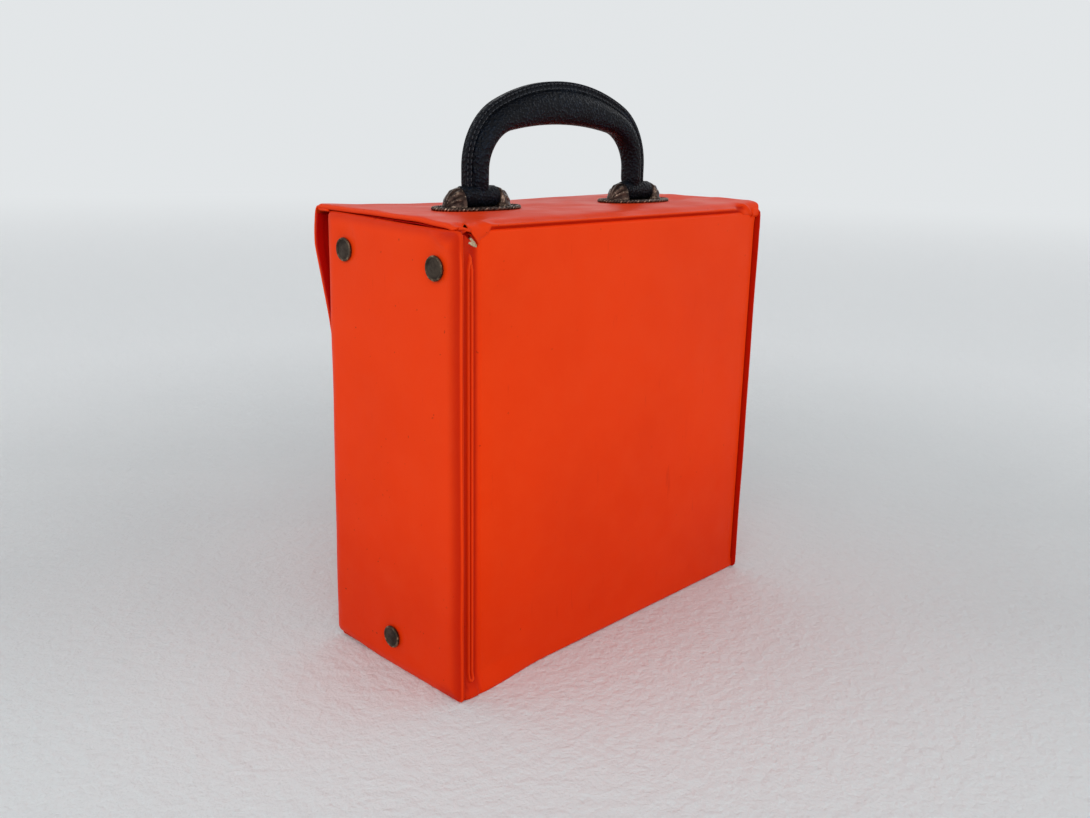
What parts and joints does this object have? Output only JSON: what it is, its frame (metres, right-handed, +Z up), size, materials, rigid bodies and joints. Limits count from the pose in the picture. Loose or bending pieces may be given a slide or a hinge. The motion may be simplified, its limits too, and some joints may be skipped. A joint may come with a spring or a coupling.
{
  "type": "first aid kit case",
  "caption": "Upright vinyl-covered case with board walls, riveted end panels, a hinged lid with a front flap on press studs, and a padded carrying handle.",
  "frame": {"origin": "middle of the flat bottom face, where the case stands", "axes": "+Z up; X along the case's length; the flap and studs are on the -Y side and the plain back on the +Y side"},
  "size_m": [0.257, 0.1178, 0.312],
  "materials": {
    "vinyl": "satin, softly grained",
    "lining": "matt",
    "board": "raw board",
    "bronze": "antique, dark patina",
    "brass": "satin",
    "steel": "plain",
    "leather": "pebbled"
  },
  "bodies": {
    "case": {"wall_skin": "vinyl", "wall_lining": "lining", "back_board": "board", "front_board": "board", "bottom_board": "board", "front_studs": "brass", "front_stud_washers": "brass", "right_end_skin": "vinyl", "right_end_board": "board", "right_end_lining": "lining", "right_back_tab": "vinyl", "right_front_tab": "vinyl", "right_bottom_tab": "vinyl", "right_end_rivets": "bronze", "right_end_washers": "brass", "left_end_skin": "vinyl", "left_end_board": "board", "left_end_lining": "lining", "left_back_tab": "vinyl", "left_front_tab": "vinyl", "left_bottom_tab": "vinyl", "left_end_rivets": "bronze", "left_end_washers": "brass"},
    "lid": {"lid_skin": "vinyl", "lid_board": "board", "lid_lining": "lining", "right_fitting": "bronze", "right_fitting_bar": "steel", "right_fitting_screws": "steel", "right_backing_plate": "steel", "left_fitting": "bronze", "left_fitting_bar": "steel", "left_fitting_screws": "steel", "left_backing_plate": "steel"},
    "flap": {"flap_skin": "vinyl", "flap_board": "board", "flap_lining": "lining", "flap_caps": "bronze", "flap_sockets": "brass"},
    "handle": {"handle_grip": "leather", "handle_welt": "leather", "handle_core": "steel", "right_handle_loop": "leather", "left_handle_loop": "leather"}
  },
  "joints": [
    {"name": "lid_hinge", "type": "hinge", "parent": "case", "child": "lid", "pos_m": [0, 0.0505, 0.2416], "axis": [-1, 0, 0], "range_deg": [0, 120]},
    {"name": "flap_hinge", "type": "hinge", "parent": "lid", "child": "flap", "pos_m": [0, -0.0593, 0.2431], "axis": [-1, 0, 0], "range_deg": [0, 120]},
    {"name": "handle_swing", "type": "hinge", "parent": "lid", "child": "handle", "pos_m": [0, 0, 0.2518], "axis": [1, 0, 0], "range_deg": [-75, 75]}
  ]
}
